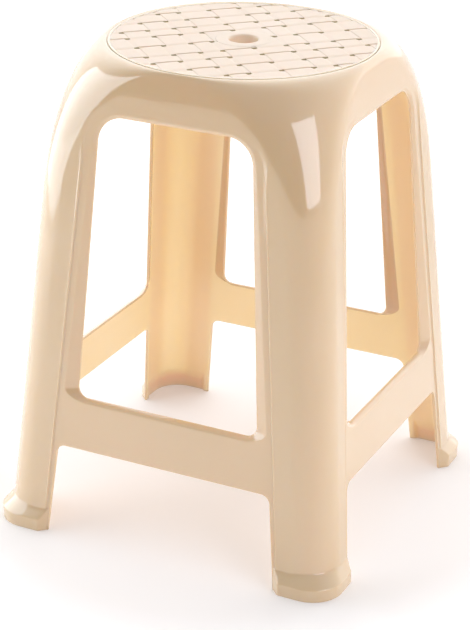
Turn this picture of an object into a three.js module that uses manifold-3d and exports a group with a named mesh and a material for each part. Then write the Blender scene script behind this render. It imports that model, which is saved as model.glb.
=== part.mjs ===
// Stacking stool: one hollow moulding in cream polypropylene, drawn as its named regions.
// Millimetres, +Z up. The origin lies on the floor under the middle of the seat.
// The front looks along -Y. Neighbouring regions meet face to face on flat parting planes.

import * as THREE from 'three';
import { mergeVertices } from 'three/addons/utils/BufferGeometryUtils.js';
import Module from 'manifold-3d';

const wasm = await Module();
wasm.setup();

// Whole shell
const stoolHeight = 450;
const floorHalfWidth = 168; // middle to the flat of a side, at the floor
const topHalfWidth = 130.2; // the same flats carried up to the seat's height
const rimRoll = 5.7; // the flats roll in this far to the round edge of the top
const rimWidth = 1.5; // edge of the top outside the seat panel
const wall = 3;
const seatWall = 3.5;

// Corners of the shell
const legCornerRadius = 30;
const shoulderHeight = 122; // the corners bow in to the seat over this height
const rimHeight = 45; // the flat sides roll in to the seat over this height
const leastFlat = 1; // half the flat that stays between two corners at the top
const cornerSteps = 10;
const shoulderAngles = [15, 30, 45, 60, 72, 82, 90].map(THREE.MathUtils.degToRad);

// Shoe at the foot of each leg
const shoeBandHeight = 12; // upright part
const shoeLedgeHeight = 10.5; // sloped part over it
const shoeFlare = 6.5;
const shoeMargin = 1.2; // the flare's sloped end starts this far from the leg's edge

// Legs between the arches and the windows
const legWidthFloor = 51.3; // leg's edge to the flat around the corner, at the floor
const legWidthTop = 58.5; // the same carried up to the seat's height
const archTop = 89.5;
const archCorner = 9;

// Windows above the stretchers
const stretcherHeight = 47.5;
const apronHeight = 45; // window to the seat's top
const windowCornerSill = 9;
const windowCornerTop = 24;
const windowSteps = 5;

// Lip turned in around each window
const lipSillRise = 2.2; // over the stretcher's face
const lipSillWidth = 12.6; // on the legs, at the sill
const lipTopWidth = 3.2;
const lipSillDepth = 6;
const lipTopDepth = 1.5;
const lipWall = 2.4;
const lipLap = 1; // how far the lip's root runs into the side
const lipSink = 0.2; // how far the lip's root lies under the side's face

// Woven seat panel
const grooveWidth = 1;
const grooveDepth = 1.4;
const borderWidth = 2.5;
const strandWidth = 20.2;
const laneShift = 4.8; // the strands beside the finger hole are this much wider, the next ones narrower
const drainSize = 4.7; // square hole between four strands
const strandHeight = 1;
const strandDive = 8.5; // sloped stretch at each end of a strand
const strandTuck = 0.2; // how far a strand's end runs into its neighbour
const weaveTurn = THREE.MathUtils.degToRad(45);
const panelSteps = 72;

// Finger hole, the ring around it and the stiffening under the seat
const fingerHoleRadius = 13;
const fingerHoleSteps = 32;
const hubWidth = 12.5; // smooth ring around the finger hole
const collarWall = 3;
const collarHeight = 8.5;
const ribHeight = 8.5;
const ribThickness = 2.4;
const ribInset = 5; // seat panel's edge to the rib's end
const ribCount = 8;
const fit = 0.3; // gap where two regions meet on anything but a parting plane

// Parting planes and cutting tools
const partingInset = 2; // how far a parting plane lies inside the corner that it serves
const overrun = 20;

// Worked out from the sizes above
const seatRadius = topHalfWidth - rimRoll;
const panelRadius = seatRadius - rimWidth;
const shoeHeight = shoeBandHeight + shoeLedgeHeight;
const stretcherTop = archTop + stretcherHeight;
const windowSill = stretcherTop + lipSillRise;
const windowTop = stoolHeight - apronHeight;
const far = floorHalfWidth + shoeFlare + overrun;
const diagonal = Math.SQRT2;
const quarterTurn = Math.PI / 2;
const zAxis = new THREE.Vector3(0, 0, 1);

// Geometry to solid and back

function turnedOutward(geometry) {
  const position = geometry.getAttribute('position');
  const index = geometry.getIndex().array;
  const [a, b, c] = [new THREE.Vector3(), new THREE.Vector3(), new THREE.Vector3()];
  let volume = 0;
  for (let i = 0; i < index.length; i += 3) {
    a.fromBufferAttribute(position, index[i]);
    b.fromBufferAttribute(position, index[i + 1]);
    c.fromBufferAttribute(position, index[i + 2]);
    volume += a.dot(b.cross(c));
  }
  if (volume < 0) index.reverse();
  return geometry;
}

function toSolid(geometry) {
  const bare = geometry.clone();
  bare.deleteAttribute('normal');
  bare.deleteAttribute('uv');
  const merged = turnedOutward(mergeVertices(bare));
  return new wasm.Manifold(new wasm.Mesh({
    numProp: 3,
    vertProperties: new Float32Array(merged.getAttribute('position').array),
    triVerts: new Uint32Array(merged.getIndex().array),
  }));
}

function toGeometry(solid) {
  const { vertProperties, triVerts } = solid.getMesh();
  const geometry = new THREE.BufferGeometry();
  geometry.setAttribute('position', new THREE.BufferAttribute(vertProperties, 3));
  geometry.setIndex(new THREE.BufferAttribute(triVerts, 1));
  geometry.computeVertexNormals();
  return geometry;
}

// Closed skin over loops of points: a loft with flat ends, or a ring where the last loop meets the first
function skinned(loops, isRing) {
  const count = loops[0].length;
  const triangles = [];
  for (let k = 0; k < loops.length - (isRing ? 0 : 1); k += 1) {
    const here = k * count;
    const next = ((k + 1) % loops.length) * count;
    for (let i = 0; i < count; i += 1) {
      const j = (i + 1) % count;
      triangles.push(here + i, here + j, next + j, here + i, next + j, next + i);
    }
  }
  if (!isRing) {
    const last = (loops.length - 1) * count;
    for (let i = 1; i < count - 1; i += 1) {
      triangles.push(0, i + 1, i, last, last + i, last + i + 1);
    }
  }
  const geometry = new THREE.BufferGeometry().setFromPoints(loops.flat());
  geometry.setIndex(triangles);
  return toSolid(geometry);
}

function block(low, high) {
  const size = high.clone().sub(low);
  const middle = low.clone().add(high).divideScalar(2);
  return new THREE.BoxGeometry(size.x, size.y, size.z).translate(middle.x, middle.y, middle.z);
}

function circle(radius, steps) {
  return Array.from({ length: steps }, (_, i) => {
    const angle = (2 * Math.PI * i) / steps;
    return new THREE.Vector2(radius * Math.cos(angle), radius * Math.sin(angle));
  });
}

function upright(outline, bottom, top) {
  const settings = { depth: top - bottom, bevelEnabled: false };
  return new THREE.ExtrudeGeometry(new THREE.Shape(outline), settings).translate(0, 0, bottom);
}

function disc(radius, steps, bottom, top) {
  return toSolid(upright(circle(radius, steps), bottom, top));
}

function ring(innerRadius, outerRadius, steps, bottom, top) {
  const bore = disc(innerRadius, steps, bottom - overrun, top + overrun);
  return disc(outerRadius, steps, bottom, top).subtract(bore);
}

// Outer and inner surface of the shell

function alongHeight(atFloor, atTop, z) {
  return atFloor + ((atTop - atFloor) * z) / stoolHeight;
}

// Share of a quarter round that is left at a height: 1 where it starts, 0 at the top
function quarterRound(z, height, topInset) {
  const rise = Math.max(0, z - (stoolHeight - height)) / (height - topInset);
  return Math.sqrt(Math.max(0, 1 - rise * rise));
}

function flatReach(z) {
  return alongHeight(floorHalfWidth, topHalfWidth, z);
}

function cornerReach(z) {
  return diagonal * flatReach(z) - (diagonal - 1) * legCornerRadius;
}

// Rounded square at a height, set in from the outer surface by the side's and the seat's wall
function section(z, inset, topInset) {
  const rollIn = flatReach(stoolHeight) - seatRadius;
  const bowIn = cornerReach(stoolHeight) - seatRadius;
  const side = flatReach(z) - rollIn + (rollIn - inset) * quarterRound(z, rimHeight, topInset);
  const corner = cornerReach(z) - bowIn + (bowIn - inset) * quarterRound(z, shoulderHeight, topInset);
  const radius = Math.min((diagonal * side - corner) / (diagonal - 1), side - leastFlat);
  return { side, radius };
}

function sectionLoop({ side, radius }, z) {
  const points = [];
  for (let corner = 0; corner < 4; corner += 1) {
    const middle = new THREE.Vector3(side - radius, side - radius, z);
    for (let step = 0; step <= cornerSteps; step += 1) {
      const angle = quarterTurn * (step / cornerSteps);
      const out = new THREE.Vector3(radius * Math.cos(angle), radius * Math.sin(angle), 0);
      points.push(middle.clone().add(out).applyAxisAngle(zAxis, quarterTurn * corner));
    }
  }
  return points;
}

function shellSurface(inset, topInset, bottom) {
  const shoulderStart = stoolHeight - shoulderHeight;
  const rise = shoulderHeight - topInset;
  const heights = shoulderAngles.map((angle) => shoulderStart + rise * Math.sin(angle));
  const levels = [bottom, shoulderStart, ...heights];
  return skinned(levels.map((z) => sectionLoop(section(z, inset, topInset), z)), false);
}

// Upright band at the floor with a sloped ledge up to the plain leg
function shoeSurface(inset, bottom) {
  const band = { side: floorHalfWidth + shoeFlare - inset, radius: legCornerRadius - inset };
  return skinned([
    sectionLoop(band, bottom),
    sectionLoop(band, shoeBandHeight),
    sectionLoop(section(shoeHeight, inset, inset), shoeHeight),
  ], false);
}

// Outlines on a side, as x and z with x to the right

function legEdge(z) {
  return flatReach(z) - alongHeight(legWidthFloor, legWidthTop, z);
}

function upWindow(atSill, atTop, z) {
  return atSill + ((atTop - atSill) * (z - windowSill)) / (windowTop - windowSill);
}

function windowHalf(z) {
  return legEdge(z) - upWindow(lipSillWidth, lipTopWidth, z);
}

// The four corners of a window: where each arc is centred, its two radii and the way it faces
const sillCornerZ = windowSill + windowCornerSill;
const topCornerZ = windowTop - windowCornerTop;
const sillCornerX = windowHalf(sillCornerZ) - windowCornerSill;
const topCornerX = windowHalf(topCornerZ) - windowCornerTop;

function windowOutline(sill, top, edgeAt) {
  const corners = [
    { x: sillCornerX, z: sillCornerZ, rise: sillCornerZ - sill, start: -quarterTurn },
    { x: topCornerX, z: topCornerZ, rise: top - topCornerZ, start: 0 },
  ];
  const right = corners.flatMap(({ x, z, rise, start }) => {
    const reach = edgeAt(z) - x;
    return Array.from({ length: windowSteps + 1 }, (_, step) => {
      const angle = start + quarterTurn * (step / windowSteps);
      return new THREE.Vector2(x + reach * Math.cos(angle), z + rise * Math.sin(angle));
    });
  });
  const left = right.map(({ x, y }) => new THREE.Vector2(-x, y)).reverse();
  return [...right, ...left];
}

function archOutline() {
  const cornerZ = archTop - archCorner;
  const cornerX = legEdge(cornerZ) - archCorner;
  const right = [new THREE.Vector2(legEdge(-overrun), -overrun)];
  for (let step = 0; step <= windowSteps; step += 1) {
    const angle = quarterTurn * (step / windowSteps);
    const out = new THREE.Vector2(archCorner * Math.cos(angle), archCorner * Math.sin(angle));
    right.push(new THREE.Vector2(cornerX, cornerZ).add(out));
  }
  const left = right.map(({ x, y }) => new THREE.Vector2(-x, y)).reverse();
  return [...right, ...left];
}

// Prism through the front and back sides, or turned to go through the other two
function throughCut(outline, turn) {
  const geometry = upright(outline, -far, far).rotateX(quarterTurn).rotateZ(turn);
  return toSolid(geometry);
}

// Lip around one window: its root lies in the side's wall and its free edge is turned in
function windowLip(turn) {
  const root = windowOutline(stretcherTop, windowTop + lipTopWidth, legEdge);
  const edge = windowOutline(windowSill, windowTop, windowHalf);
  const loops = [[], [], [], []];
  root.forEach((fold, i) => {
    const free = edge[i];
    const depth = upWindow(lipSillDepth, lipTopDepth, free.y);
    const away = fold.clone().sub(free);
    const width = away.length();
    away.normalize();
    const slant = Math.hypot(width, depth);
    const sunk = fold.clone().addScaledVector(away, lipLap);
    const backShift = away.clone().multiplyScalar((lipWall * depth) / slant);
    const backDepth = (lipWall * width) / slant;
    const place = (point, inward) => new THREE.Vector3(point.x, inward - flatReach(point.y), point.y);
    loops[0].push(place(sunk, lipSink));
    loops[1].push(place(free, depth));
    loops[2].push(place(free.clone().add(backShift), depth + backDepth));
    loops[3].push(place(sunk.clone().add(backShift), lipSink + backDepth));
  });
  loops.flat().forEach((point) => point.applyAxisAngle(zAxis, turn));
  return skinned(loops, true);
}

// Sides and corners, counted round from the front

const sides = [
  { name: 'front', turn: 0 },
  { name: 'right', turn: quarterTurn },
  { name: 'back', turn: 2 * quarterTurn },
  { name: 'left', turn: 3 * quarterTurn },
];
const corners = [
  { name: 'front_left', x: -1, y: -1 },
  { name: 'front_right', x: 1, y: -1 },
  { name: 'back_right', x: 1, y: 1 },
  { name: 'back_left', x: -1, y: 1 },
];

function cornerBlock({ x, y }, split, bottom, top) {
  const low = new THREE.Vector3(Math.min(x * split, x * far), Math.min(y * split, y * far), bottom);
  const high = new THREE.Vector3(Math.max(x * split, x * far), Math.max(y * split, y * far), top);
  return toSolid(block(low, high));
}

// Block around the foot of one leg whose ends slope at 45 degrees across the flare
function shoeBlock({ x, y }, edge, bottom, top) {
  const outer = floorHalfWidth + shoeFlare;
  const plan = [
    new THREE.Vector2(edge, edge),
    new THREE.Vector2(edge, floorHalfWidth),
    new THREE.Vector2(edge + shoeFlare, outer),
    new THREE.Vector2(edge + shoeFlare, far),
    new THREE.Vector2(far, far),
    new THREE.Vector2(far, edge + shoeFlare),
    new THREE.Vector2(outer, edge + shoeFlare),
    new THREE.Vector2(floorHalfWidth, edge),
  ];
  return toSolid(upright(plan.map((point) => point.multiply(new THREE.Vector2(x, y))), bottom, top));
}

// Hollow flare around the foot of one leg, closed by a wall at each end
function addShoe(shell, inside, corner) {
  const edge = legEdge(0) + shoeMargin;
  const flare = shoeSurface(0, 0).intersect(shoeBlock(corner, edge, 0, shoeHeight)).subtract(inside);
  const hollowBlock = shoeBlock(corner, edge + diagonal * wall, -overrun, shoeHeight);
  return shell.add(flare).subtract(shoeSurface(wall, -overrun).intersect(hollowBlock));
}

// The whole shell before it is parted into its regions
function makeShell() {
  const inside = shellSurface(wall, seatWall, -overrun);
  let shell = shellSurface(0, 0, 0).subtract(inside);
  const opening = windowOutline(stretcherTop, windowTop + lipTopWidth, legEdge);
  for (const turn of [0, quarterTurn]) {
    shell = shell.subtract(throughCut(opening, turn));
    shell = shell.subtract(throughCut(archOutline(), turn));
  }
  for (const { turn } of sides) {
    shell = shell.add(windowLip(turn));
  }
  for (const corner of corners) {
    shell = addShoe(shell, inside, corner);
  }
  return shell.subtract(disc(panelRadius, panelSteps, stoolHeight - overrun, stoolHeight + overrun));
}

// Regions of the shell, each cut out by a block between its parting planes

const shell = makeShell();
const apronHalf = topCornerX - partingInset;
const stretcherHalf = sillCornerX - partingInset;

function sideBlock(turn, half, bottom, top) {
  const low = new THREE.Vector3(-half, -far, bottom);
  const high = new THREE.Vector3(half, 0, top);
  return toSolid(block(low, high).rotateZ(turn));
}

function stretcherBlock({ turn }) {
  return sideBlock(turn, stretcherHalf, shoeHeight, sillCornerZ);
}

function makeShoe(corner) {
  return shell.intersect(cornerBlock(corner, stretcherHalf, -overrun, shoeHeight));
}

function makeLeg(corner) {
  let leg = shell.intersect(cornerBlock(corner, 0, shoeHeight, topCornerZ));
  for (const side of sides) {
    leg = leg.subtract(stretcherBlock(side));
  }
  return leg;
}

function makeShoulder(corner) {
  return shell.intersect(cornerBlock(corner, apronHalf, topCornerZ, stoolHeight + overrun));
}

function makeStretcher(side) {
  return shell.intersect(stretcherBlock(side));
}

function makeApron({ turn }) {
  return shell.intersect(sideBlock(turn, apronHalf, topCornerZ, stoolHeight + overrun));
}

// Seat panel: a plain weave of wide flat strands, with a drain hole at each crossing of the gaps

const panelBottom = stoolHeight - seatWall;
const weaveFloor = stoolHeight - strandHeight;
const grooveRadius = panelRadius - grooveWidth;
const weaveRadius = grooveRadius - borderWidth;
const strandPitch = strandWidth + drainSize;
const hubRadius = fingerHoleRadius + hubWidth;

// One strand along X about the origin, with a flat crown between its two dives
function strandGeometry(length, width) {
  const halfLength = length / 2 + drainSize + strandTuck;
  const halfCrown = halfLength - strandDive;
  const outline = [
    new THREE.Vector2(-halfLength, panelBottom),
    new THREE.Vector2(halfLength, panelBottom),
    new THREE.Vector2(halfLength, weaveFloor),
    new THREE.Vector2(halfCrown, stoolHeight),
    new THREE.Vector2(-halfCrown, stoolHeight),
    new THREE.Vector2(-halfLength, weaveFloor),
  ];
  return upright(outline, -width / 2, width / 2).rotateX(quarterTurn);
}

// Where a gap line between two lanes of strands runs, counted from the middle of the seat
function gapLine(number) {
  const shift = Math.abs(number) === 1 ? Math.sign(number) * laneShift : 0;
  return number * strandPitch + shift;
}

// Calls back for each crossing of the gap lines or, with a span of one, for each cell between them
function eachPlace(span, visit) {
  const count = Math.ceil(panelRadius / strandPitch);
  for (let row = -count; row <= count; row += 1) {
    for (let column = -count; column <= count; column += 1) {
      const low = new THREE.Vector2(gapLine(column), gapLine(row));
      const high = new THREE.Vector2(gapLine(column + span), gapLine(row + span));
      const size = high.clone().sub(low).subScalar(drainSize);
      const place = low.add(high).divideScalar(2).rotateAround(new THREE.Vector2(), weaveTurn);
      visit(place, size, (row + column) % 2 !== 0);
    }
  }
}

function makeWeave() {
  let strands = null;
  eachPlace(1, (place, size, crosswise) => {
    if (place.length() > weaveRadius + strandPitch / 2) return;
    const turn = weaveTurn + (crosswise ? quarterTurn : 0);
    const geometry = crosswise ? strandGeometry(size.y, size.x) : strandGeometry(size.x, size.y);
    const strand = toSolid(geometry.rotateZ(turn).translate(place.x, place.y, 0));
    strands = strands ? strands.add(strand) : strand;
  });
  return strands.intersect(disc(weaveRadius + strandTuck, panelSteps, panelBottom, stoolHeight));
}

function makeDrains() {
  let drains = null;
  const half = drainSize / 2;
  eachPlace(0, (place) => {
    if (place.length() > weaveRadius - drainSize || place.length() < hubRadius) return;
    const low = new THREE.Vector3(-half, -half, panelBottom - overrun);
    const high = new THREE.Vector3(half, half, stoolHeight + overrun);
    const drain = toSolid(block(low, high).rotateZ(weaveTurn).translate(place.x, place.y, 0));
    drains = drains ? drains.add(drain) : drain;
  });
  return drains;
}

function makeSeatPanel() {
  const rebate = disc(panelRadius, panelSteps, panelBottom, stoolHeight - grooveDepth);
  const border = ring(weaveRadius, grooveRadius, panelSteps, panelBottom, stoolHeight);
  const hub = disc(hubRadius, fingerHoleSteps, panelBottom - overrun, stoolHeight + overrun);
  return rebate.add(makeWeave()).add(border).subtract(makeDrains()).subtract(hub);
}

// Smooth ring around the finger hole, with a collar under it

function makeCollar() {
  const bottom = panelBottom - collarHeight;
  const tube = disc(fingerHoleRadius + collarWall, fingerHoleSteps, bottom, stoolHeight);
  const hub = disc(hubRadius, fingerHoleSteps, panelBottom, stoolHeight);
  const hole = disc(fingerHoleRadius, fingerHoleSteps, bottom - overrun, stoolHeight + overrun);
  return tube.add(hub).subtract(hole);
}

// Stiffening under the seat

function ribGeometry() {
  const start = fingerHoleRadius + collarWall + fit;
  const end = panelRadius - ribInset;
  const half = ribThickness / 2;
  return block(
    new THREE.Vector3(start, -half, panelBottom - ribHeight),
    new THREE.Vector3(end, half, panelBottom),
  );
}

// Scene

const creamShell = { color: 0xead6ba, roughness: 0.32, metalness: 0 };
const creamSeat = { color: 0xf2e4cf, roughness: 0.38, metalness: 0 };
const creamUnder = { color: 0xe6c79b, roughness: 0.45, metalness: 0 };

const stool = new THREE.Group();
stool.name = 'stacking_stool';

function addPiece(name, geometry, look) {
  const mesh = new THREE.Mesh(geometry, new THREE.MeshStandardMaterial(look));
  mesh.name = name;
  stool.add(mesh);
  return mesh;
}

addPiece('seat_panel', toGeometry(makeSeatPanel()), creamSeat);
addPiece('finger_hole_collar', toGeometry(makeCollar()), creamSeat);
for (let i = 0; i < ribCount; i += 1) {
  const rib = addPiece(`seat_rib_${i + 1}`, ribGeometry(), creamUnder);
  rib.rotation.z = (2 * Math.PI * (i + 1 / 2)) / ribCount;
}
for (const side of sides) {
  addPiece(`apron_${side.name}`, toGeometry(makeApron(side)), creamShell);
  addPiece(`stretcher_${side.name}`, toGeometry(makeStretcher(side)), creamShell);
}
for (const corner of corners) {
  addPiece(`shoulder_${corner.name}`, toGeometry(makeShoulder(corner)), creamShell);
  addPiece(`leg_${corner.name}`, toGeometry(makeLeg(corner)), creamShell);
  addPiece(`shoe_${corner.name}`, toGeometry(makeShoe(corner)), creamShell);
}

export default stool;
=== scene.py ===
import math

import bmesh
import bpy
import numpy as np
from mathutils import Matrix, Vector


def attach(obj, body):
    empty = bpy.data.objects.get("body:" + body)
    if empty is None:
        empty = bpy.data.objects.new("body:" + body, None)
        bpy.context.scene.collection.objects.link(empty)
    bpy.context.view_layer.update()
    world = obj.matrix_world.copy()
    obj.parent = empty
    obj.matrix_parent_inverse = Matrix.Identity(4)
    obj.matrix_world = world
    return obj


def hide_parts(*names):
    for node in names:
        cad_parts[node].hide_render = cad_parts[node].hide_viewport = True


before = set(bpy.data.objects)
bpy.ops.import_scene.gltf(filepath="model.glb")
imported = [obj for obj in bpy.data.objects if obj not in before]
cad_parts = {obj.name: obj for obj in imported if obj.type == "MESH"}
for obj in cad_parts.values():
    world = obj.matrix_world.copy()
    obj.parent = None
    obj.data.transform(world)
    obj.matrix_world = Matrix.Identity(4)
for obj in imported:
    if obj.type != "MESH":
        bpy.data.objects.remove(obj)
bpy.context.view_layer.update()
print("frame loaded:", len(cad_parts), "nodes")

mm = 0.001  # everything below is worked out in millimetres, apart from the floor and the lamps
outsideFace, insideFace, paintedShadeFace = 0, 1, 2  # order of the materials on a piece
rootTwo = math.sqrt(2)


# helpers shared by the pieces

def softStep(low, high, x):
    t = np.clip((x - low) / (high - low), 0, 1)
    return t * t * (3 - 2 * t)


def softened(shape, x, reach):
    # rounds the kinks of a piecewise straight shape over a short reach
    return (shape(x - reach) + 2 * shape(x) + shape(x + reach)) / 4


def quarterArc(radius, angles):
    # steps of a rounded edge: how far each is set back from the edge's tip, and how deep it lies
    turns = [math.radians(angle) for angle in angles]
    return [(radius * (1 - math.sin(a)), radius * (1 - math.cos(a))) for a in turns]


def tubeFaces(sections, size, isRing=False):
    # faces between closed sections of equal size that follow one another
    faces = []
    for k in range(sections if isRing else sections - 1):
        here, after = k * size, (k + 1) % sections * size
        for i in range(size):
            j = (i + 1) % size
            faces.append((here + i, here + j, after + j, after + i))
    return faces


def keepUsed(points, faces):
    # leaves out the points that no face uses
    used = sorted({p for face in faces for p in face})
    place = {p: i for i, p in enumerate(used)}
    return np.array(points, float)[used], [tuple(place[p] for p in face) for face in faces]


def buildPiece(name, points, faces, nodes, seam=0.0, finishes=None):
    # seam joins points that lie closer than it
    mesh = bpy.data.meshes.new(name)
    mesh.from_pydata([tuple(p) for p in np.asarray(points, float) * mm], [], faces)
    if finishes:
        mesh.polygons.foreach_set("material_index", finishes)
    piece = bpy.data.objects.new(name, mesh)
    bpy.context.scene.collection.objects.link(piece)
    work = bmesh.new()
    work.from_mesh(mesh)
    if seam:
        bmesh.ops.remove_doubles(work, verts=work.verts, dist=seam * mm)
    bmesh.ops.recalc_face_normals(work, faces=work.faces)
    for face in work.faces:
        face.smooth = True
    work.to_mesh(mesh)
    work.free()
    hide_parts(*nodes)
    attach(piece, "root")
    print("built", name, "with", len(mesh.polygons), "faces")
    return piece


# shell: seat edge, shoulders, aprons, legs, stretchers and shoes in one moulding

shell = {
    "height": 450.0,
    "floorHalf": 168.0,       # middle to the flat of a side, at the floor
    "topHalf": 130.2,
    "rimRoll": 5.7,
    "rimHeight": 45.0,
    "wall": 3.0,
    "seatWall": 3.5,
    "cornerRadius": 30.0,
    "shoulderHeight": 122.0,  # the corners bow in to the seat over this height
    "edgeRound": 0.6,
    "seam": 0.004,            # the mirrored parts of the shell are joined within this
}

shoe = {
    "flare": 6.5,
    "innerFlare": 2.5,        # the inside opens only a little, in a soft curve
    "band": 12.0,
    "top": 22.5,
    "start": 117.4,           # middle of a side to the flare's sloped end, at the floor
    "startLean": 0.053,       # that end comes in by this much for each millimetre up
    "startRound": 0.5,
    "ledgeRound": 0.4,
    "innerRound": 4.0,
}

# the legs' outer faces stand proud of the panel around the windows, with a step along their edge
raisedFace = {
    "raise": 1.2,
    "step": 120.3,            # middle of a side to the step, at the floor
    "stepLean": 0.086,
    "turnHeight": 379.0,      # above this the step turns in over the window
    "turnRadius": 32.4,
    "crisp": 0.6,             # the step's half width along a leg
    "wide": 3.0,              # and where it turns in
    "widening": (360, 395),
    "topFade": (375, 425),
    "middleFade": (50, 60),
    "beadHeight": 0.32,       # slight bead along the step
    "beadWidth": 0.7,
    "beadStart": (24, 30),
    "beadEnd": (355, 390),
}

window = {
    "sill": 137.0,            # stretcher's upper edge, where the lip folds in
    "sillEdge": 139.2,        # free edge of the lip at the sill
    "topEdge": 405.0,
    "topFold": 408.2,
    "sillRadius": 9.0,
    "topRadius": 24.0,
    "sillWidth": 12.6,        # lip on the legs, at the sill and at the top
    "topWidth": 3.2,
    "sillDepth": 6.0,
    "topDepth": 1.5,
    "lipWall": 2.4,
    "lipRound": 0.8,
    "lipMiddle": 0.55,        # extra row of points across the lip
    "lipSink": 0.15,          # the lip's back ends this far behind the inner sheet
    "foldRound": 1.0,
    "legEdge": 116.7,         # middle of a side to the opening's edge, at the floor
    "legLean": 0.1,
}

arch = {"top": 89.5, "radius": 9.0}

# smooth border of the seat from the rim inwards, as radius and height: rounding, groove, flat and flange
border = {
    "profile": [(124.1, 449.99), (123.3, 449.85), (122.7, 449.55), (122.3, 449.25), (122.1, 449.1),
                (122.02, 449.15), (121.98, 449.3), (121.95, 449.7), (121.85, 449.92), (121.6, 450),
                (119.9, 450), (119.65, 449.92), (119.5, 449.65), (119.5, 447), (119.5, 446.5)],
    "innerRadius": 119.5,
    "shadedRadii": (121.9, 122.25),    # where shade is painted on the groove's steep wall
    "shadedHeights": (449, 449.6),
}

seatRadius = shell["topHalf"] - shell["rimRoll"]
sideLean = (shell["floorHalf"] - shell["topHalf"]) / shell["height"]


def quarterRound(z, height, topInset):
    # 1 below the rounding under the seat's edge, 0 at its top
    rise = np.maximum(0, z - (shell["height"] - height)) / (height - topInset)
    return np.sqrt(np.maximum(0, 1 - rise * rise))


def cornerReach(flat):
    # middle of the stool to the outside of a corner
    return rootTwo * flat - (rootTwo - 1) * shell["cornerRadius"]


def sectionAt(z, inset=0.0, topInset=0.0):
    # rounded square: half side and corner radius, which stays just under the half side
    flat = shell["floorHalf"] + (shell["topHalf"] - shell["floorHalf"]) * z / shell["height"]
    bowIn = cornerReach(shell["topHalf"]) - seatRadius
    roll = quarterRound(z, shell["rimHeight"], topInset)
    bow = quarterRound(z, shell["shoulderHeight"], topInset)
    side = flat - shell["rimRoll"] + (shell["rimRoll"] - inset) * roll
    reach = cornerReach(flat) - bowIn + (bowIn - inset) * bow
    radius = np.minimum((rootTwo * side - reach) / (rootTwo - 1), side - 0.01)
    return side, radius


def shoeOut(z, inset, side):
    # how far the shoe stands out from the plain leg
    flare, soft = shoe["flare"], shoe["ledgeRound"]
    if inset:
        flare, soft = shoe["innerFlare"], shoe["innerRound"]
    band = shell["floorHalf"] + flare - inset
    ledgeSide = sectionAt(np.full_like(z, shoe["top"]), inset, inset)[0]

    def halfSide(height):
        share = np.clip((height - shoe["band"]) / (shoe["top"] - shoe["band"]), 0, 1)
        over = np.maximum(0, height - shoe["top"])
        return band + (ledgeSide - band) * share - over * sideLean

    return np.maximum(0, softened(halfSide, z, soft) - side) * (z < shoe["top"] + soft)


def shoeStart(z):
    return shoe["start"] - shoe["startLean"] * z


def stepLine(z):
    return raisedFace["step"] - raisedFace["stepLean"] * z


def widened(narrow, z):
    # narrow along a leg, and wide where the step turns in over a window
    return narrow + (raisedFace["wide"] - narrow) * softStep(*raisedFace["widening"], z)


def raisedShare(x, z):
    # 1 on the legs' outer faces, 0 on the panel around a window
    turnZ, turnRadius = raisedFace["turnHeight"], raisedFace["turnRadius"]
    turnX = stepLine(turnZ) - turnRadius
    around = np.hypot(np.maximum(0, x - turnX), np.maximum(0, z - turnZ)) - turnRadius
    beyond = np.where(z < turnZ, x - stepLine(z), around)
    soft = widened(raisedFace["crisp"], z)
    fade = (1 - softStep(*raisedFace["topFade"], z)) * softStep(*raisedFace["middleFade"], x)
    bead = np.exp(-((beyond - soft) / raisedFace["beadWidth"]) ** 2)
    bead = bead * (1 - softStep(*raisedFace["beadEnd"], z)) * softStep(*raisedFace["beadStart"], z)
    return softStep(-1, 1, beyond / soft) * fade + bead * raisedFace["beadHeight"] / raisedFace["raise"]


def surfaceDepth(x, z, inset=0.0, topInset=0.0):
    # distance of the shell's surface from the middle plane of the stool, looking at one side
    side, radius = sectionAt(z, inset, topInset)
    out = shoeOut(z, inset, side)
    start = shoeStart(z) + inset * rootTwo

    def ramp(at):
        return np.clip(at - start, 0, out)

    extra = softened(ramp, x, shoe["startRound"])
    if inset == 0:
        share = raisedShare(x, z) * np.clip(1 - extra / raisedFace["raise"], 0, 1)
        extra = extra + raisedFace["raise"] * share
        radius = radius + raisedFace["raise"] * rootTwo / (rootTwo - 1) * share
    flat = side + extra - radius
    over = np.maximum(0, x - flat)
    return flat + np.sqrt(np.maximum(0, radius * radius - over * over))


def diagonalX(z, inset=0.0, topInset=0.0):
    side, radius = sectionAt(z, inset, topInset)
    return side + shoeOut(z, inset, side) - radius * (1 - 1 / rootTwo)


def legEdge(z):
    return window["legEdge"] - window["legLean"] * z


def lipShare(z):
    # 0 at the sill's edge, 1 at the window's top edge
    return (z - window["sillEdge"]) / (window["topEdge"] - window["sillEdge"])


def windowHalf(z):
    return legEdge(z) - window["sillWidth"] - (window["topWidth"] - window["sillWidth"]) * lipShare(z)


# grid of the front side's right half: rows run from the floor to the seat, and columns from the middle
# of the side to the corner's diagonal
grid = {
    "shoeToStep": (22.5, 36),   # heights over which the columns pass from the shoe's end to the step
    "shoeToLeg": (22.5, 50),    # and from the shoe's corner to the leg's
    "shoeBend": 125.1,
    "beforeStep": 0.9,          # the step's columns reach this far to both sides of it
    "afterStep": 1.8,
    "pastStep": 2.5,
    "stepColumns": 8,
    "cornerColumns": 14,
    "smoothRounds": 40,         # how often the points around the openings are evened out
    "fixedHeights": (30, 443),  # points below and above these don't follow the openings
    "fixedStepHeight": 330,
    "squeezeHeight": 420,       # the inner sheet's rows are squeezed under the seat from here
}

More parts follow.
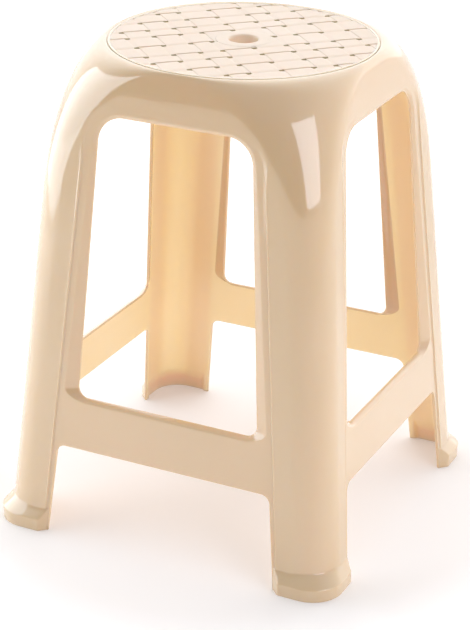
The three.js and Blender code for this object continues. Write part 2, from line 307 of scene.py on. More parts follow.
# places of the columns between the middle and the opening's edge
edgeShares = [0, .08, .16, .24, .32, .4, .48, .55, .61, .666, .71, .75, .782, .82, .855, .887,
              .917, .943, .965, .983, 1]
heights = [0.6, 1.6, 3.5, 6, 8.5, 10.4, 11.5, 12, 12.5, 13.6, 15.5, 18, 20, 21.5, 22.1, 22.6,
           23.1, 25, 28, 33, 39, 45, 51, 57, 63, 69, 75, 80.5, 82.5, 84.5, 86.5, 88.2, 90.1, 92,
           95, 100, 106, 112, 118, 123, 127, 130.5, 133.5, 136, 137.8, 140, 142.6, 145.4, 148.2,
           152, 157, 164, 172, 180, 188, 196, 204, 212, 220, 228, 236, 244, 252, 260, 268, 276,
           284, 292, 300, 308, 316, 324, 332, 340, 348, 355, 362, 369, 375, 381, 385, 389, 393,
           397, 401, 405, 409.2, 411.5, 414, 417, 420.5, 424, 428, 432, 436, 439.5, 442.5, 445,
           447, 448.3, 449.1, 449.55, 449.8, 449.94, 450]
heights = np.array(heights)


def rowAt(height):
    return int(np.argmin(abs(heights - height)))


archRow = rowAt(arch["top"] + shell["edgeRound"])
archCurveRow = rowAt(arch["top"] - arch["radius"])
sillRow = rowAt(window["sill"] - window["foldRound"])
sillCurveRow = rowAt(window["sillEdge"] + window["sillRadius"])
topCurveRow = rowAt(window["topEdge"] - window["topRadius"])
topRow = rowAt(window["topFold"] + window["foldRound"])
edgeColumn = len(edgeShares) - 1
archCurveColumn = edgeShares.index(.917)  # where the round corners of the openings begin
sillCurveColumn = edgeShares.index(.782)
topCurveColumn = edgeShares.index(.666)


def columnPlaces(z):
    edge = legEdge(z)
    onStep = softStep(*grid["shoeToStep"], z)
    onLeg = softStep(*grid["shoeToLeg"], z)
    first = shoeStart(z) * (1 - onStep) + (stepLine(z) - widened(grid["beforeStep"], z)) * onStep
    second = stepLine(z) + widened(grid["afterStep"], z)
    third = grid["shoeBend"] * (1 - onLeg) + (second + grid["pastStep"]) * onLeg
    last = diagonalX(z)
    stepColumns, cornerColumns = grid["stepColumns"], grid["cornerColumns"]
    places = [edge * share for share in edgeShares]
    places += [edge + (first - edge) * 0.5, first]
    places += [first + (second - first) * step / stepColumns for step in range(1, stepColumns + 1)]
    places += [second + (third - second) * share for share in (.33, .67, 1)]
    places += [third + (last - third) * step / cornerColumns for step in range(1, cornerColumns + 1)]
    return places


gridX = np.array([columnPlaces(np.array(float(z))) for z in heights]).T  # [column, row]
gridZ = np.tile(heights, (gridX.shape[0], 1))
lastColumn, lastRow = gridX.shape[0] - 1, gridX.shape[1] - 1
firstStepColumn = edgeColumn + 2


def arcPoint(cx, cz, reach, rise, angle):
    return np.array([cx + reach * math.cos(angle), cz + rise * math.sin(angle)])


def windowCorner(isTop):
    # middle of a round corner, radius of its free edge, and the fold's distance sideways and upwards
    radius = window["topRadius"] if isTop else window["sillRadius"]
    edge = window["topEdge"] if isTop else window["sillEdge"]
    fold = window["topFold"] if isTop else window["sill"]
    cz = edge - radius if isTop else edge + radius
    cx = windowHalf(cz) - radius
    return cx, cz, radius, legEdge(cz) - cx, abs(fold - cz)


def windowPair(column, row):
    # the fold and the free edge of the lip that belong to one grid point of the opening's edge
    isTop = row > sillCurveRow
    cx, cz, freeReach, foldReach, foldRise = windowCorner(isTop)
    sign = 1 if isTop else -1
    endRow = topRow if isTop else sillRow
    if row == endRow:
        curveColumn = topCurveColumn if isTop else sillCurveColumn
        if column <= curveColumn:
            x = cx * edgeShares[column] / edgeShares[curveColumn]
            return np.array([x, cz + sign * foldRise]), np.array([x, cz + sign * freeReach])
        turn = 90 - 45 * (column - curveColumn) / (edgeColumn - curveColumn)
    else:
        curveRow = topCurveRow if isTop else sillCurveRow
        if (row <= curveRow) if isTop else (row >= curveRow):
            z = heights[row]
            return np.array([legEdge(z), z]), np.array([windowHalf(z), z])
        turn = 45 * (row - curveRow) / (endRow - curveRow)
    angle = math.radians(turn) * sign
    return arcPoint(cx, cz, foldReach, foldRise, angle), arcPoint(cx, cz, freeReach, freeReach, angle)


def archPair(column, row):
    # a point of the arch's edge and the direction into the opening
    cz = arch["top"] - arch["radius"]
    cx = legEdge(cz) - arch["radius"]
    if row == archRow:
        if column <= archCurveColumn:
            x = cx * edgeShares[column] / edgeShares[archCurveColumn]
            return np.array([x, arch["top"]]), np.array([0.0, -1.0])
        turn = 90 - 45 * (column - archCurveColumn) / (edgeColumn - archCurveColumn)
    elif row == 0:
        into = np.array([-1.0, -1.0]) if column == edgeColumn else np.array([0.0, -1.0])
        x = legEdge(0.0) if column == edgeColumn else gridX[column, 0]
        return np.array([x, 0.0]), into
    elif row <= archCurveRow:
        return np.array([legEdge(heights[row]), heights[row]]), np.array([-1.0, 0.0])
    else:
        turn = 45 * (row - archCurveRow) / (archRow - archCurveRow)
    angle = math.radians(turn)
    return arcPoint(cx, cz, arch["radius"], arch["radius"], angle), -arcPoint(0, 0, 1, 1, angle)


# grid points, as column and row, along the edges of the window, the arch and the foot, and the seat
windowLoop = [(c, sillRow) for c in range(edgeColumn + 1)]
windowLoop += [(edgeColumn, r) for r in range(sillRow + 1, topRow + 1)]
windowLoop += [(c, topRow) for c in range(edgeColumn - 1, -1, -1)]
archLoop = [(c, archRow) for c in range(edgeColumn + 1)]
archLoop += [(edgeColumn, r) for r in range(archRow - 1, -1, -1)]
archLoop += [(c, 0) for c in range(edgeColumn + 1, lastColumn + 1)]
borderLoop = [(c, lastRow) for c in range(lastColumn + 1)]
windowPairs = [windowPair(c, r) for c, r in windowLoop]
archPairs = [archPair(c, r) for c, r in archLoop]


def snapOpenings():
    # moves the grid's edges onto the rounded openings and lets the points around them follow
    targets = {}
    for place, (fold, free) in zip(windowLoop, windowPairs):
        targets[place] = fold - (free - fold) / np.hypot(*(free - fold)) * window["foldRound"]
    for place, (point, into) in zip(archLoop, archPairs):
        targets[place] = point - into * shell["edgeRound"]
    shiftX, shiftZ = np.zeros_like(gridX), np.zeros_like(gridX)
    fixed = np.zeros(gridX.shape, bool)
    for place, (x, z) in targets.items():
        shiftX[place], shiftZ[place] = x - gridX[place], z - gridZ[place]
        fixed[place] = True
    fixed[:, heights < grid["fixedHeights"][0]] = True
    fixed[:, heights > grid["fixedHeights"][1]] = True
    fixed[firstStepColumn:, heights < grid["fixedStepHeight"]] = True
    fixed[lastColumn, :] = True
    there = np.ones(gridX.shape, bool)
    there[:edgeColumn, sillRow + 1:topRow] = False
    there[:edgeColumn, :archRow] = False
    loose = there & ~fixed
    weight = there.astype(float)
    for _ in range(grid["smoothRounds"]):
        for shift in (shiftX, shiftZ):
            total, count = np.zeros_like(shift), np.zeros_like(shift)
            for axis, step in ((0, 1), (0, -1), (1, 1), (1, -1)):
                total += np.roll(shift * weight, step, axis)
                count += np.roll(weight, step, axis)
            smooth = total / np.maximum(count, 1)
            shift[loose] = smooth[loose]
        shiftX[0, :] = 0
    gridX[there] += shiftX[there]
    gridZ[there] += shiftZ[there]


def innerGrid():
    # the inner sheet keeps the outer sheet's columns and rows, squeezed to its own corner and ceiling
    ceiling, low = shell["height"] - shell["seatWall"], grid["squeezeHeight"]
    z = np.where(gridZ > low, low + (gridZ - low) * (ceiling - low) / (shell["height"] - low), gridZ)
    edge = gridX[edgeColumn]
    outerLast = gridX[lastColumn]
    innerLast = diagonalX(z[lastColumn], shell["wall"], shell["seatWall"])
    x = gridX + np.clip((gridX - edge) / (outerLast - edge), 0, 1) * (innerLast - outerLast)
    return np.stack([x, -surfaceDepth(x, z, shell["wall"], shell["seatWall"]), z], -1)


snapOpenings()
outerSheet = np.stack([gridX, -surfaceDepth(gridX, gridZ), gridZ], -1)
innerSheet = innerGrid()


def archEdgeLines():
    # rounded edge of the arch and of the foot, from the outer sheet to the inner one
    wall = shell["wall"]
    profile = quarterArc(shell["edgeRound"], (30, 60, 90))
    profile += [(setBack, wall - depth) for setBack, depth in reversed(profile)]
    lines = []
    for setBack, depth in profile:
        line = []
        for (c, r), (point, into) in zip(archLoop, archPairs):
            x, z = point - into * setBack
            z = max(z, 0.0)
            if c > edgeColumn:
                share = depth / wall
                x, y, _ = outerSheet[c, 0] * (1 - share) + innerSheet[c, 0] * share
            else:
                y = depth - surfaceDepth(x, z)
            line.append((x, y, z))
        lines.append(line)
    return lines


def lipProfile(fold, free):
    # section of the lip at one place, as distance from the fold and depth from the outer surface
    thick, bend = window["lipWall"], window["foldRound"]
    width = math.hypot(*(free - fold))
    depth = window["sillDepth"] + (window["topDepth"] - window["sillDepth"]) * lipShare(free[1])
    slope = depth / width
    slant = math.hypot(1, slope)
    along, back = np.array([1, slope]) / slant, np.array([-slope, 1]) / slant
    end = np.array([width, depth])
    bendPlaces = (-bend / 2, 0, bend / 2, bend)
    profile = [np.array([w, slope * (w + bend) ** 2 / (4 * bend)]) for w in bendPlaces]
    profile.append(end * window["lipMiddle"])
    edgeArc = quarterArc(window["lipRound"], (0, 30, 60, 90))
    profile += [end - along * setBack + back * deep for setBack, deep in edgeArc]
    profile += [end - along * setBack + back * (thick - deep) for setBack, deep in reversed(edgeArc)]
    # the lip's back runs down to where it meets the inner sheet
    root = max(-bend, (shell["wall"] + window["lipSink"] - thick * slant) / slope)
    meeting = np.array([root, root * slope + thick * slant])
    return profile + [(meeting + profile[-1]) / 2, meeting]


def lipLines():
    # lip turned in around the window
    rings = []
    for fold, free in windowPairs:
        away = (free - fold) / math.hypot(*(free - fold))
        ring = []
        for reach, depth in lipProfile(fold, free):
            x, z = fold + away * reach
            ring.append((x, depth - surfaceDepth(x, z), z))
        rings.append(ring)
    return list(zip(*rings))


def borderLines():
    edge = outerSheet[:, lastRow, :2]
    around = edge / np.hypot(edge[:, 0], edge[:, 1])[:, None]
    return [np.column_stack([around * radius, np.full(len(edge), z)]) for radius, z in border["profile"]]


def shellOctant():
    rows, inner = lastRow + 1, gridX.size
    points = [*outerSheet.reshape(-1, 3), *innerSheet.reshape(-1, 3)]
    faces, finishes = [], []
    for c in range(lastColumn):
        for r in range(lastRow):
            if c < edgeColumn and (sillRow <= r < topRow or r < archRow):
                continue
            here, beside = c * rows + r, (c + 1) * rows + r
            quad = (here, beside, beside + 1, here + 1)
            faces += [quad, tuple(inner + q for q in quad)]
            finishes += [outsideFace, insideFace]
    loops = (archLoop, archEdgeLines()), (windowLoop, lipLines()), (borderLoop, borderLines())
    for loop, lines in loops:
        strip = [[c * rows + r for c, r in loop]]
        for line in lines:
            strip.append(range(len(points), len(points) + len(line)))
            points.extend(line)
        strip.append([inner + q for q in strip[0]])
        for a, b in zip(strip[:-1], strip[1:]):
            faces += [(a[k], a[k + 1], b[k + 1], b[k]) for k in range(len(a) - 1)]
            finishes += [outsideFace] * (len(a) - 1)
    return *keepUsed(points, faces), finishes


def makeShell():
    octant, octantFaces, octantFinishes = shellOctant()
    points, faces, finishes = [], [], []
    for quarter in range(4):
        angle = quarter * math.pi / 2
        cos, sin = round(math.cos(angle)), round(math.sin(angle))
        for mirror in (1, -1):
            x, y = octant[:, 0] * mirror, octant[:, 1]
            start = len(points) * len(octant)
            points.append(np.column_stack([x * cos - y * sin, x * sin + y * cos, octant[:, 2]]))
            for face in octantFaces:
                faces.append(tuple(start + p for p in face[::mirror]))
            finishes += octantFinishes
    regions = ("apron", "stretcher", "shoulder", "leg", "shoe")
    nodes = [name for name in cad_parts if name.split("_")[0] in regions]
    points = np.concatenate(points)
    piece = buildPiece("stool_shell", points, faces, nodes, shell["seam"], finishes)
    nearest, farthest = (radius * mm for radius in border["shadedRadii"])
    low, high = (height * mm for height in border["shadedHeights"])
    for face in piece.data.polygons:
        # the groove's steep wall takes the painted shade
        if nearest < math.hypot(face.center.x, face.center.y) < farthest and low < face.center.z < high:
            face.material_index = paintedShadeFace
    return piece


stoolShell = makeShell()


# woven seat: wide flat strands with a drain hole at each crossing of the gaps

weave = {
    "top": 449.85,
    "bottom": 446.5,
    "turn": 45.0,          # degrees between the strands and the stool's sides
    "pitch": 24.9,
    "drain": 4.7,
    "laneShift": 4.8,      # the strands beside the finger hole are this much wider, the next narrower
    "gapsEachSide": 5,
    "dive": 6.0,           # sloped stretch at each end of a strand
    "straightDive": 0.5,   # share of the dive that is straight, the rest is an s-curve
    "sink": (0.5, 0.75),   # how far the two sets of strands dive
    "underSink": 0.6,      # the ground between the strands lies this much lower still
    "crown": 0.08,         # the strands are this much higher along their middle
    "edgeDrop": 0.15,      # rounding of a strand's side edge
    "edgeWidth": 0.8,
    "trimRadius": 121.0,
    "trimSectors": 24,
    "holeRadius": 24.0,
}

# rows of points across a strand and across a gap
strandRows = {
    "fromEdge": (0.1, 0.35, 0.8),
    "shares": (0.08, 0.15, 0.24, 0.35, 0.5, 0.65, 0.76, 0.85, 0.92),
    "intoGap": 0.14,
    "gapShare": 0.4,
    "endGap": 0.05,       # a strand ends just before the far side of a gap
}


def gapLine(number):
    # middle of a gap between two strands, counted from the finger hole
    shift = math.copysign(weave["laneShift"], number) if abs(number) == 1 else 0
    return number * weave["pitch"] + shift


def lane(number):
    # middle and width of the strands between one gap and the next
    low, high = gapLine(number) + weave["drain"] / 2, gapLine(number + 1) - weave["drain"] / 2
    return (low + high) / 2, high - low


def weaveLines(numbers):
    half, step, share = weave["drain"] / 2, strandRows["intoGap"], strandRows["gapShare"]
    lines = []
    for number in numbers:
        offsets = (-half, step - half, -share * half, share * half, half - step)
        lines += [gapLine(number) + at for at in offsets]
        width = lane(number)[1]
        edges = [at / width for at in strandRows["fromEdge"]]
        places = [0, *edges, *strandRows["shares"], *(1 - at for at in edges)]
        lines += [gapLine(number) + half + width * place for place in places]
    return np.array(sorted(lines))


def strandTop(along, across, length, width, sink):
    # top of one strand: flat crown, then a soft dive, and a slight crown across its width
    start = length / 2 + weave["drain"] - weave["dive"]
    dive = np.clip((np.abs(along) - start) / weave["dive"], 0, 1)
    straight = weave["straightDive"]
    drop = sink * (dive * dive * (3 - 2 * dive) * (1 - straight) + dive * straight)
    share = np.clip(np.abs(across) / (width / 2), 0, 1)
    edge = np.clip((np.abs(across) - width / 2) / weave["edgeWidth"] + 1, 0, 1)
    return weave["top"] - drop - weave["crown"] * share ** 2 - weave["edgeDrop"] * edge ** 3


def makeWeave():
    tiny = 1e-6
    numbers = range(-weave["gapsEachSide"], weave["gapsEachSide"] + 1)
    lines = weaveLines(numbers)
    size, half = len(lines), weave["drain"] / 2
    u, v = np.meshgrid(lines, lines, indexing="ij")
    top = np.full(u.shape, weave["top"] - weave["sink"][1] - weave["underSink"])
    for a in numbers:
        for b in numbers:
            (middleU, wide), (middleV, long) = lane(a), lane(b)
            du, dv = u - middleU, v - middleV
            along, across, length, width, sink = du, dv, wide, long, weave["sink"][0]
            if (a + b) % 2:
                along, across, length, width, sink = dv, du, long, wide, weave["sink"][1]
            longEnough = np.abs(along) < length / 2 + weave["drain"] - strandRows["endGap"]
            inside = (np.abs(across) <= width / 2 + tiny) & longEnough
            top = np.where(inside, np.maximum(top, strandTop(along, across, length, width, sink)), top)

    cos, sin = math.cos(math.radians(weave["turn"])), math.sin(math.radians(weave["turn"]))
    x, y = u * cos - v * sin, u * sin + v * cos
    radius = np.hypot(x, y)
    points = np.stack([x, y, top], -1).reshape(-1, 3)
    under = points * (1, 1, 0) + (0, 0, weave["bottom"])
    # the gap that each line lies in, and the gap between each line and the next
    gaps = [next((n for n in numbers if abs(at - gapLine(n)) <= half + tiny), None) for at in lines]
    between = [here if here == after else None for here, after in zip(gaps[:-1], gaps[1:])]

    def point(i, j):
        return i * size + j

    def isDrain(i, j):
        if not (0 <= i < size - 1 and 0 <= j < size - 1) or between[i] is None or between[j] is None:
            return False
        place = math.hypot(gapLine(between[i]), gapLine(between[j]))
        return weave["holeRadius"] < place < border["innerRadius"] - weave["drain"]

    faces = []
    for i in range(size - 1):
        for j in range(size - 1):
            corners = radius[i:i + 2, j:j + 2]
            isOutside = corners.min() > weave["trimRadius"] + 1 or corners.max() < weave["holeRadius"]
            if isOutside or isDrain(i, j):
                continue
            quad = (point(i, j), point(i + 1, j), point(i + 1, j + 1), point(i, j + 1))
            faces += [quad, tuple(len(points) + q for q in reversed(quad))]
            besides = ((i - 1, j), (i + 1, j), (i, j - 1), (i, j + 1))
            sides = ((3, 0), (1, 2), (0, 1), (2, 3))
            for beside, (first, second) in zip(besides, sides):
                if isDrain(*beside):
                    p, q = quad[first], quad[second]
                    faces.append((p, len(points) + p, len(points) + q, q))
    points, faces = keepUsed(np.concatenate([points, under]), faces)
    piece = buildPiece("woven_seat", points, faces, ["seat_panel"])
    trimWeave(piece)
    return piece


def trimWeave(piece):
    # trims the weave to the border, which covers its edge, and gives the walls of the drain holes the
    # painted shade
    reach, sectors = weave["trimRadius"], weave["trimSectors"]
    trimBand, tallWall = 8, 1.5
    work = bmesh.new()
    work.from_mesh(piece.data)
    for k in range(sectors):
        angle = 2 * math.pi * k / sectors
        out = Vector((math.cos(angle), math.sin(angle), 0))
        near = [f for f in work.faces if f.calc_center_median().dot(out) > (reach - trimBand) * mm]
        edges = dict.fromkeys(edge for face in near for edge in face.edges)
        corners = dict.fromkeys(corner for face in near for corner in face.verts)
        bmesh.ops.bisect_plane(work, geom=[*near, *edges, *corners], dist=1e-7, clear_outer=True,
                               plane_co=out * reach * mm, plane_no=out)
    for face in work.faces:
        depths = [p.co.z for p in face.verts]
        # the tall walls of the drain holes take the painted shade
        if max(depths) - min(depths) > tallWall * mm:
            face.material_index = paintedShadeFace
    work.to_mesh(piece.data)
    work.free()
    print("weave trimmed to", len(piece.data.polygons), "faces")


wovenSeat = makeWeave()


# smooth ring around the finger hole, with its collar under the seat

holeRing = {
    "top": 450.0,
    "seatUnder": 446.5,
    "ringRadius": 25.5,
    "holeRadius": 13.0,
    "mouthRound": 2.2,
    "mouthDrop": 0.05,
    "boreStart": 445.0,
    "collarWall": 3.0,
    "collarBottom": 438.0,
    "steps": 96,
    # rounded edges, as distances from the side and from the top or the bottom
    "edge": [(0, 0.5), (0.1, 0.2), (0.35, 0.05), (0.8, 0), (4, 0)],
    "mouth": [(3, 0), (0.6, 0.03)],
    "collarEdge": [(0.05, 1), (0.2, 0.3), (0.6, 0)],
    "collarRoot": [(0.1, 1.2), (0.4, 0.3), (1, 0)],
}


def makeHoleRing():
    hole, mouth, outside = holeRing["holeRadius"], holeRing["mouthRound"], holeRing["ringRadius"]
    top, under, low = holeRing["top"], holeRing["seatUnder"], holeRing["collarBottom"]
    collar = hole + holeRing["collarWall"]
    profile = [(outside, under)]
    profile += [(outside - side, top - drop) for side, drop in holeRing["edge"]]
    profile += [(hole + mouth + side, top - drop) for side, drop in holeRing["mouth"]]
    mouthTop, mouthArc = top - holeRing["mouthDrop"], quarterArc(mouth, range(0, 91, 15))
    profile += [(hole + side, mouthTop - drop) for side, drop in mouthArc]
    profile.append((hole, holeRing["boreStart"]))
    profile += [(hole + side, low + rise) for side, rise in holeRing["collarEdge"]]
    profile += [(collar - side, low + rise) for side, rise in reversed(holeRing["collarEdge"])]
    profile += [(collar + side, under - drop) for side, drop in holeRing["collarRoot"]]
    points = []
    for k in range(holeRing["steps"]):
        a = 2 * math.pi * k / holeRing["steps"]
        points += [(r * math.cos(a), r * math.sin(a), z) for r, z in profile]
    faces = tubeFaces(holeRing["steps"], len(profile), isRing=True)
    return buildPiece("finger_hole_ring", points, faces, ["finger_hole_collar"])


fingerHoleRing = makeHoleRing()


# ribs that stiffen the seat from below

ribs = {
    "count": 8,
    "start": 16.2,
    "end": 118.0,
    "height": 8.5,
    "root": 2.4,
    "tip": 1.8,            # narrower than the root, so that the moulding leaves its tool
    "round": 0.5,
    "rootFillet": (0.3, 0.5),
    "runOut": 4.0,         # the rib gets lower over this length, towards the shell
    "endHeight": 0.55,     # share of its height that is left there
    "steps": 24,
}


def makeRib(k):
    angle = (k + 0.5) * 2 * math.pi / ribs["count"]
    cos, sin = math.cos(angle), math.sin(angle)
    base, low = weave["bottom"], weave["bottom"] - ribs["height"]
    rounding, root, tip = ribs["round"], ribs["root"] / 2, ribs["tip"] / 2
    side, drop = ribs["rootFillet"]
    section = [(root + side, base), (root, base - drop), (tip, low + rounding),
               (tip - rounding * 0.3, low + rounding * 0.3), (tip - rounding, low)]
    section += [(-y, z) for y, z in reversed(section)]
    size, steps = len(section), ribs["steps"]
    points = []
    for s in range(steps + 1):
        along = ribs["start"] + (ribs["end"] - ribs["start"]) * s / steps
        squeeze = min(1, (ribs["end"] - along) / ribs["runOut"] + ribs["endHeight"])
        for y, z in section:
            points.append((along * cos - y * sin, along * sin + y * cos, base - (base - z) * squeeze))
    faces = tubeFaces(steps + 1, size)
    faces += [tuple(range(size)), tuple(reversed(range(steps * size, (steps + 1) * size)))]
    return buildPiece(f"rib_{k + 1}", points, faces, [f"seat_rib_{k + 1}"])


seatRibs = [makeRib(k) for k in range(ribs["count"])]


# materials

def linearColour(hexValue):
    parts = [int(hexValue[i:i + 2], 16) / 255 for i in (1, 3, 5)]
    return tuple(p / 12.92 if p <= 0.04045 else ((p + 0.055) / 1.055) ** 2.4 for p in parts) + (1.0,)


def addNode(tree, kind, settings=None, links=None):
    node = tree.nodes.new(kind)
    for name, value in (settings or {}).items():
        if isinstance(name, int) or name in node.inputs:
            node.inputs[name].default_value = value
        else:
            setattr(node, name, value)
    for socket, source in (links or {}).items():
        tree.links.new(source, node.inputs[socket])
    return node


# Injection-moulded polypropylene, dyed cream. The melt freezes against steel, so each face shows how
# that side of the tool was finished. Light spreads in the milky plastic, so shaded walls look soft.
polypropylene = {
    "ior": 1.49,
    "specular": 1.0,
    "subsurface": 0.9,
    "spread": (1.0, 0.9, 0.65),    # red light goes farthest in it
    "skinRoughness": 0.1,
    "glossVaries": 0.25,
    "cloudMm": 90.0,               # slow drift of the pigment, about a hand's width across
    "cloudDetail": 3.0,
    "grainMm": 1.4,                # real polish marks are finer; drawn coarser so that they show
    "grainDetail": 2.0,
    "grainMmDeep": 0.05,
    "grainStrength": 0.05,
}

plasticFinishes = {
    # outside, against mirror-polished steel: a dense clear skin with sharp reflections of the lamps
    "polishedPolypropylene": {
        "colour": "#e9cda6", "shade": "#e5c89f", "roughness": 0.075, "scatterMm": 2.0, "skinGloss": 0.8},
    # seat, against finely blasted steel: no sharp reflection and a more even sheen; its colour is paler
    # than the outside's as painted sheen
    "satinPolypropylenePaintedSheen": {
        "colour": "#efdac3", "shade": "#ebd5bb", "roughness": 0.34, "scatterMm": 2.0, "skinGloss": 0.0},
    # inside, against the machined core: satin, paler than the outside as painted sheen, and light that
    # comes through the thin wall glows warm
    "satinInsidePaintedSheen": {
        "colour": "#edd4b8", "shade": "#e9cfb0", "roughness": 0.34, "scatterMm": 9.0, "skinGloss": 0.0},
}

# Painted shade in the drain holes and on the groove's steep wall: dull and tan, darker in some places
# than in others, so that these gaps read as fine darker marks where shade falls.
gapShade = {
    # darker and lighter tones of the painted shade
    "thick": "#c3b28f",
    "thin": "#d5c6a4",
    "patchMm": 3.0,
    "patchDetail": 2.0,
    "roughness": 0.85,
    "specular": 0.2,
}


def newMaterial(name):
    material = bpy.data.materials.new(name)
    material.use_nodes = True
    material.node_tree.nodes.clear()
    return material, material.node_tree


def mouldedPolypropylene(name, colour, shade, roughness, scatterMm, skinGloss):
    material, tree = newMaterial(name)
    plastic = polypropylene
    place = addNode(tree, "ShaderNodeTexCoord").outputs["Object"]
    cloud = addNode(tree, "ShaderNodeTexNoise", {
        "Scale": 1 / (plastic["cloudMm"] * mm),
        "Detail": plastic["cloudDetail"],
    }, {"Vector": place}).outputs["Fac"]
    tint = addNode(tree, "ShaderNodeMix", {
        "data_type": "RGBA",
        6: linearColour(colour),
        7: linearColour(shade),
    }, {0: cloud}).outputs[2]
    grain = addNode(tree, "ShaderNodeTexNoise", {
        "Scale": 1 / (plastic["grainMm"] * mm),
        "Detail": plastic["grainDetail"],
    }, {"Vector": place}).outputs["Fac"]
    gloss = addNode(tree, "ShaderNodeMapRange", {
        "To Min": roughness * (1 - plastic["glossVaries"]),
        "To Max": roughness * (1 + plastic["glossVaries"]),
    }, {"Value": cloud}).outputs["Result"]
    bump = addNode(tree, "ShaderNodeBump", {
        "Strength": plastic["grainStrength"],
        "Distance": plastic["grainMmDeep"] * mm,
    }, {"Height": grain}).outputs["Normal"]
    surface = addNode(tree, "ShaderNodeBsdfPrincipled", {
        "IOR": plastic["ior"],
        "Specular IOR Level": plastic["specular"],
        "Subsurface Weight": plastic["subsurface"],
        "Subsurface Radius": plastic["spread"],
        "Subsurface Scale": scatterMm * mm,
        "Coat Weight": skinGloss,
        "Coat Roughness": plastic["skinRoughness"],
    }, {"Base Color": tint, "Roughness": gloss, "Normal": bump}).outputs["BSDF"]
    addNode(tree, "ShaderNodeOutputMaterial", None, {"Surface": surface})
    return material


# painted shade for the drain holes and the groove, two tones mixed in small patches
def paintedShadeInGaps():
    material, tree = newMaterial("paintedShadeInGaps")
    place = addNode(tree, "ShaderNodeTexCoord").outputs["Object"]
    patches = addNode(tree, "ShaderNodeTexNoise", {
        "Scale": 1 / (gapShade["patchMm"] * mm),
        "Detail": gapShade["patchDetail"],
    }, {"Vector": place}).outputs["Fac"]
    colour = addNode(tree, "ShaderNodeMix", {
        "data_type": "RGBA",
        6: linearColour(gapShade["thick"]),
        7: linearColour(gapShade["thin"]),
    }, {0: patches}).outputs[2]
    surface = addNode(tree, "ShaderNodeBsdfPrincipled", {
        "Roughness": gapShade["roughness"],
        "Specular IOR Level": gapShade["specular"],
    }, {"Base Color": colour}).outputs["BSDF"]
    addNode(tree, "ShaderNodeOutputMaterial", None, {"Surface": surface})
    return material


plastics = [mouldedPolypropylene(name, **look) for name, look in plasticFinishes.items()]
polished, satinSeatPaintedSheen, satinInsidePaintedSheen = plastics
paintedShade = paintedShadeInGaps()
outsides = {stoolShell: polished, wovenSeat: satinSeatPaintedSheen, fingerHoleRing: satinSeatPaintedSheen}
for piece in [stoolShell, wovenSeat, fingerHoleRing, *seatRibs]:
    for material in (outsides.get(piece, satinInsidePaintedSheen), satinInsidePaintedSheen, paintedShade):
        piece.data.materials.append(material)
print("materials done")


# floor, lights and camera; the floor and the lamps are in metres

# White paper under and behind the stool, matt, with painted light: the paper itself glows, brighter
# behind the stool and falling off a little in front.
paper = {
    "colour": "#f6f0ea",
    "roughness": 0.9,
    "specular": 0.1,
    "glowColour": "#f8f8ff",
    "frontGlow": 0.0,
    "glow": 0.15,
    "backGlow": 0.44,
    "frontEdge": (-0.6, -0.3),
    "backEdge": (0.5, 1.1),
    "paintedPoolGlow": 0.14,          # painted pool of light: the paper glows paler around the stool, and less right beside it
    "ringStart": (0.24, 0.32),
    "ringEnd": (0.6, 1.0),
    "turn": 25.7,              # degrees, the paper's painted glow falls off along the view
    "size": 16.0,
}

# soft wash of light from each side of the room: direction, where it begins and is full, strength, colour
skyWash = {
    "back": ((-0.434, 0.901, 0), -0.2, 0.9, 1.55, "#fefeff"),
    "top": ((0, 0, 1), 0.0, 1.0, 0.42, "#f4f8ff"),
    "right": ((0.901, 0.434, 0), 0.1, 1.0, 0.56, "#fcfdff"),
}

# where each lamp stands, where it points, its size, how bright its face is, and its colour
softboxes = {
    "leftPanel": ((-1.30, -0.50, 0.62), (0, 0, 0.62), (1.75, 1.2), 2.35, "#e9f4ff"),
    "rightSoftbox": ((1.45, -0.68, 1.0), (0, 0, 0.9), (1.0, 1.25), 2.64, "#eaf0ff"),
}


def makeFloor():
    half = paper["size"] / 2
    mesh = bpy.data.meshes.new("floor")
    corners = [(-half, -half, 0), (half, -half, 0), (half, half, 0), (-half, half, 0)]
    mesh.from_pydata(corners, [], [(0, 1, 2, 3)])
    floor = bpy.data.objects.new("floor", mesh)
    floor.rotation_euler.z = math.radians(paper["turn"])
    bpy.context.scene.collection.objects.link(floor)
    material, tree = newMaterial("paperWithPaintedGlow")
    place = addNode(tree, "ShaderNodeTexCoord").outputs["Object"]
    depth = addNode(tree, "ShaderNodeSeparateXYZ", None, {"Vector": place}).outputs["Y"]
    away = addNode(tree, "ShaderNodeVectorMath", {"operation": "LENGTH"}, {0: place}).outputs["Value"]
    ramps = []
    for distance, (start, full), low, high in (
        (depth, paper["frontEdge"], paper["frontGlow"], paper["glow"]),
        (depth, paper["backEdge"], 0.0, paper["backGlow"] - paper["glow"]),
        (away, paper["ringStart"], 0.0, paper["paintedPoolGlow"]),
        (away, paper["ringEnd"], 1.0, 0.0),
    ):
        ramps.append(addNode(tree, "ShaderNodeMapRange", {
            "interpolation_type": "SMOOTHSTEP",
            "From Min": start,
            "From Max": full,
            "To Min": low,
            "To Max": high,
        }, {"Value": distance}).outputs["Result"])
    # the paper's painted glow: brighter behind, and a painted pool of light around the stool
    front, behind, rise, fade = ramps
    ring = addNode(tree, "ShaderNodeMath", {"operation": "MULTIPLY"}, {0: rise, 1: fade}).outputs[0]
    along = addNode(tree, "ShaderNodeMath", {"operation": "ADD"}, {0: front, 1: behind}).outputs[0]
    glow = addNode(tree, "ShaderNodeMath", {"operation": "ADD"}, {0: along, 1: ring}).outputs[0]
    surface = addNode(tree, "ShaderNodeBsdfPrincipled", {
        "Base Color": linearColour(paper["colour"]),
        "Roughness": paper["roughness"],
        "Specular IOR Level": paper["specular"],
        "Emission Color": linearColour(paper["glowColour"]),
    }, {"Emission Strength": glow}).outputs["BSDF"]
    addNode(tree, "ShaderNodeOutputMaterial", None, {"Surface": surface})
    mesh.materials.append(material)


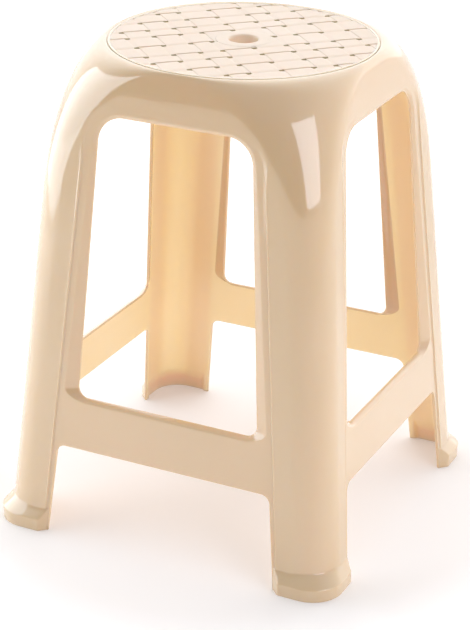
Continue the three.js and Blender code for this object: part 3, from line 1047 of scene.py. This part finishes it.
def makeStudioSky():
    world = bpy.data.worlds.new("studio")
    world.use_nodes = True
    tree = world.node_tree
    tree.nodes.clear()
    way = addNode(tree, "ShaderNodeTexCoord").outputs["Generated"]
    total = None
    for side, start, full, strength, colour in skyWash.values():
        facing = addNode(tree, "ShaderNodeVectorMath", {"operation": "DOT_PRODUCT", 1: side}, {0: way})
        share = addNode(tree, "ShaderNodeMapRange", {
            "interpolation_type": "SMOOTHSTEP",
            "From Min": start,
            "From Max": full,
            "To Max": strength,
        }, {"Value": facing.outputs["Value"]})
        wash = addNode(tree, "ShaderNodeVectorMath", {
            "operation": "SCALE",
            0: linearColour(colour)[:3],
        }, {"Scale": share.outputs["Result"]})
        if total:
            washes = {0: total.outputs["Vector"], 1: wash.outputs["Vector"]}
            wash = addNode(tree, "ShaderNodeVectorMath", {"operation": "ADD"}, washes)
        total = wash
    sky = addNode(tree, "ShaderNodeBackground", None, {"Color": total.outputs["Vector"]})
    addNode(tree, "ShaderNodeOutputWorld", None, {"Surface": sky.outputs["Background"]})
    bpy.context.scene.world = world


def addSoftbox(name, place, target, size, brightness, colour):
    light = bpy.data.lights.new(name, "AREA")
    light.shape = "RECTANGLE"
    light.size, light.size_y = size
    light.energy = brightness * math.pi * size[0] * size[1]
    light.color = linearColour(colour)[:3]
    lamp = bpy.data.objects.new(name, light)
    lamp.location = place
    lamp.rotation_euler = (Vector(target) - Vector(place)).to_track_quat("-Z", "Y").to_euler()
    bpy.context.scene.collection.objects.link(lamp)


cameraView = {
    "azimuth": 25.69,
    "elevation": 23.91,
    "roll": 0.79,
    "distance": 1913.7,
    "lookAt": (0.0, 0.0, 179.6),
    "focalPixels": 2015.1,
    "middle": (239.91, 314.5),
    "image": (470, 630),
    "sensorHeight": 36.0,
}


def makeCamera():
    az, el, roll = (math.radians(cameraView[k]) for k in ("azimuth", "elevation", "roll"))
    back = Vector((math.sin(az) * math.cos(el), -math.cos(az) * math.cos(el), math.sin(el)))
    right = Vector((math.cos(az), math.sin(az), 0))
    up = back.cross(right)
    xAxis = right * math.cos(roll) + up * math.sin(roll)
    yAxis = up * math.cos(roll) - right * math.sin(roll)
    width, height = cameraView["image"]
    data = bpy.data.cameras.new("camera")
    data.sensor_fit = "VERTICAL"
    data.sensor_height = cameraView["sensorHeight"]
    data.lens = cameraView["focalPixels"] / height * cameraView["sensorHeight"]
    data.shift_x = (width / 2 - cameraView["middle"][0]) / height
    data.shift_y = (cameraView["middle"][1] - height / 2) / height
    camera = bpy.data.objects.new("camera", data)
    matrix = Matrix((xAxis, yAxis, back)).transposed().to_4x4()
    matrix.translation = (Vector(cameraView["lookAt"]) + back * cameraView["distance"]) * mm
    camera.matrix_world = matrix
    bpy.context.scene.collection.objects.link(camera)
    bpy.context.scene.camera = camera


makeFloor()
makeStudioSky()
for name, setting in softboxes.items():
    addSoftbox(name, *setting)
bpy.context.scene.view_settings.view_transform = "Standard"
makeCamera()
print("floor, lights and camera done")

print("scene done")
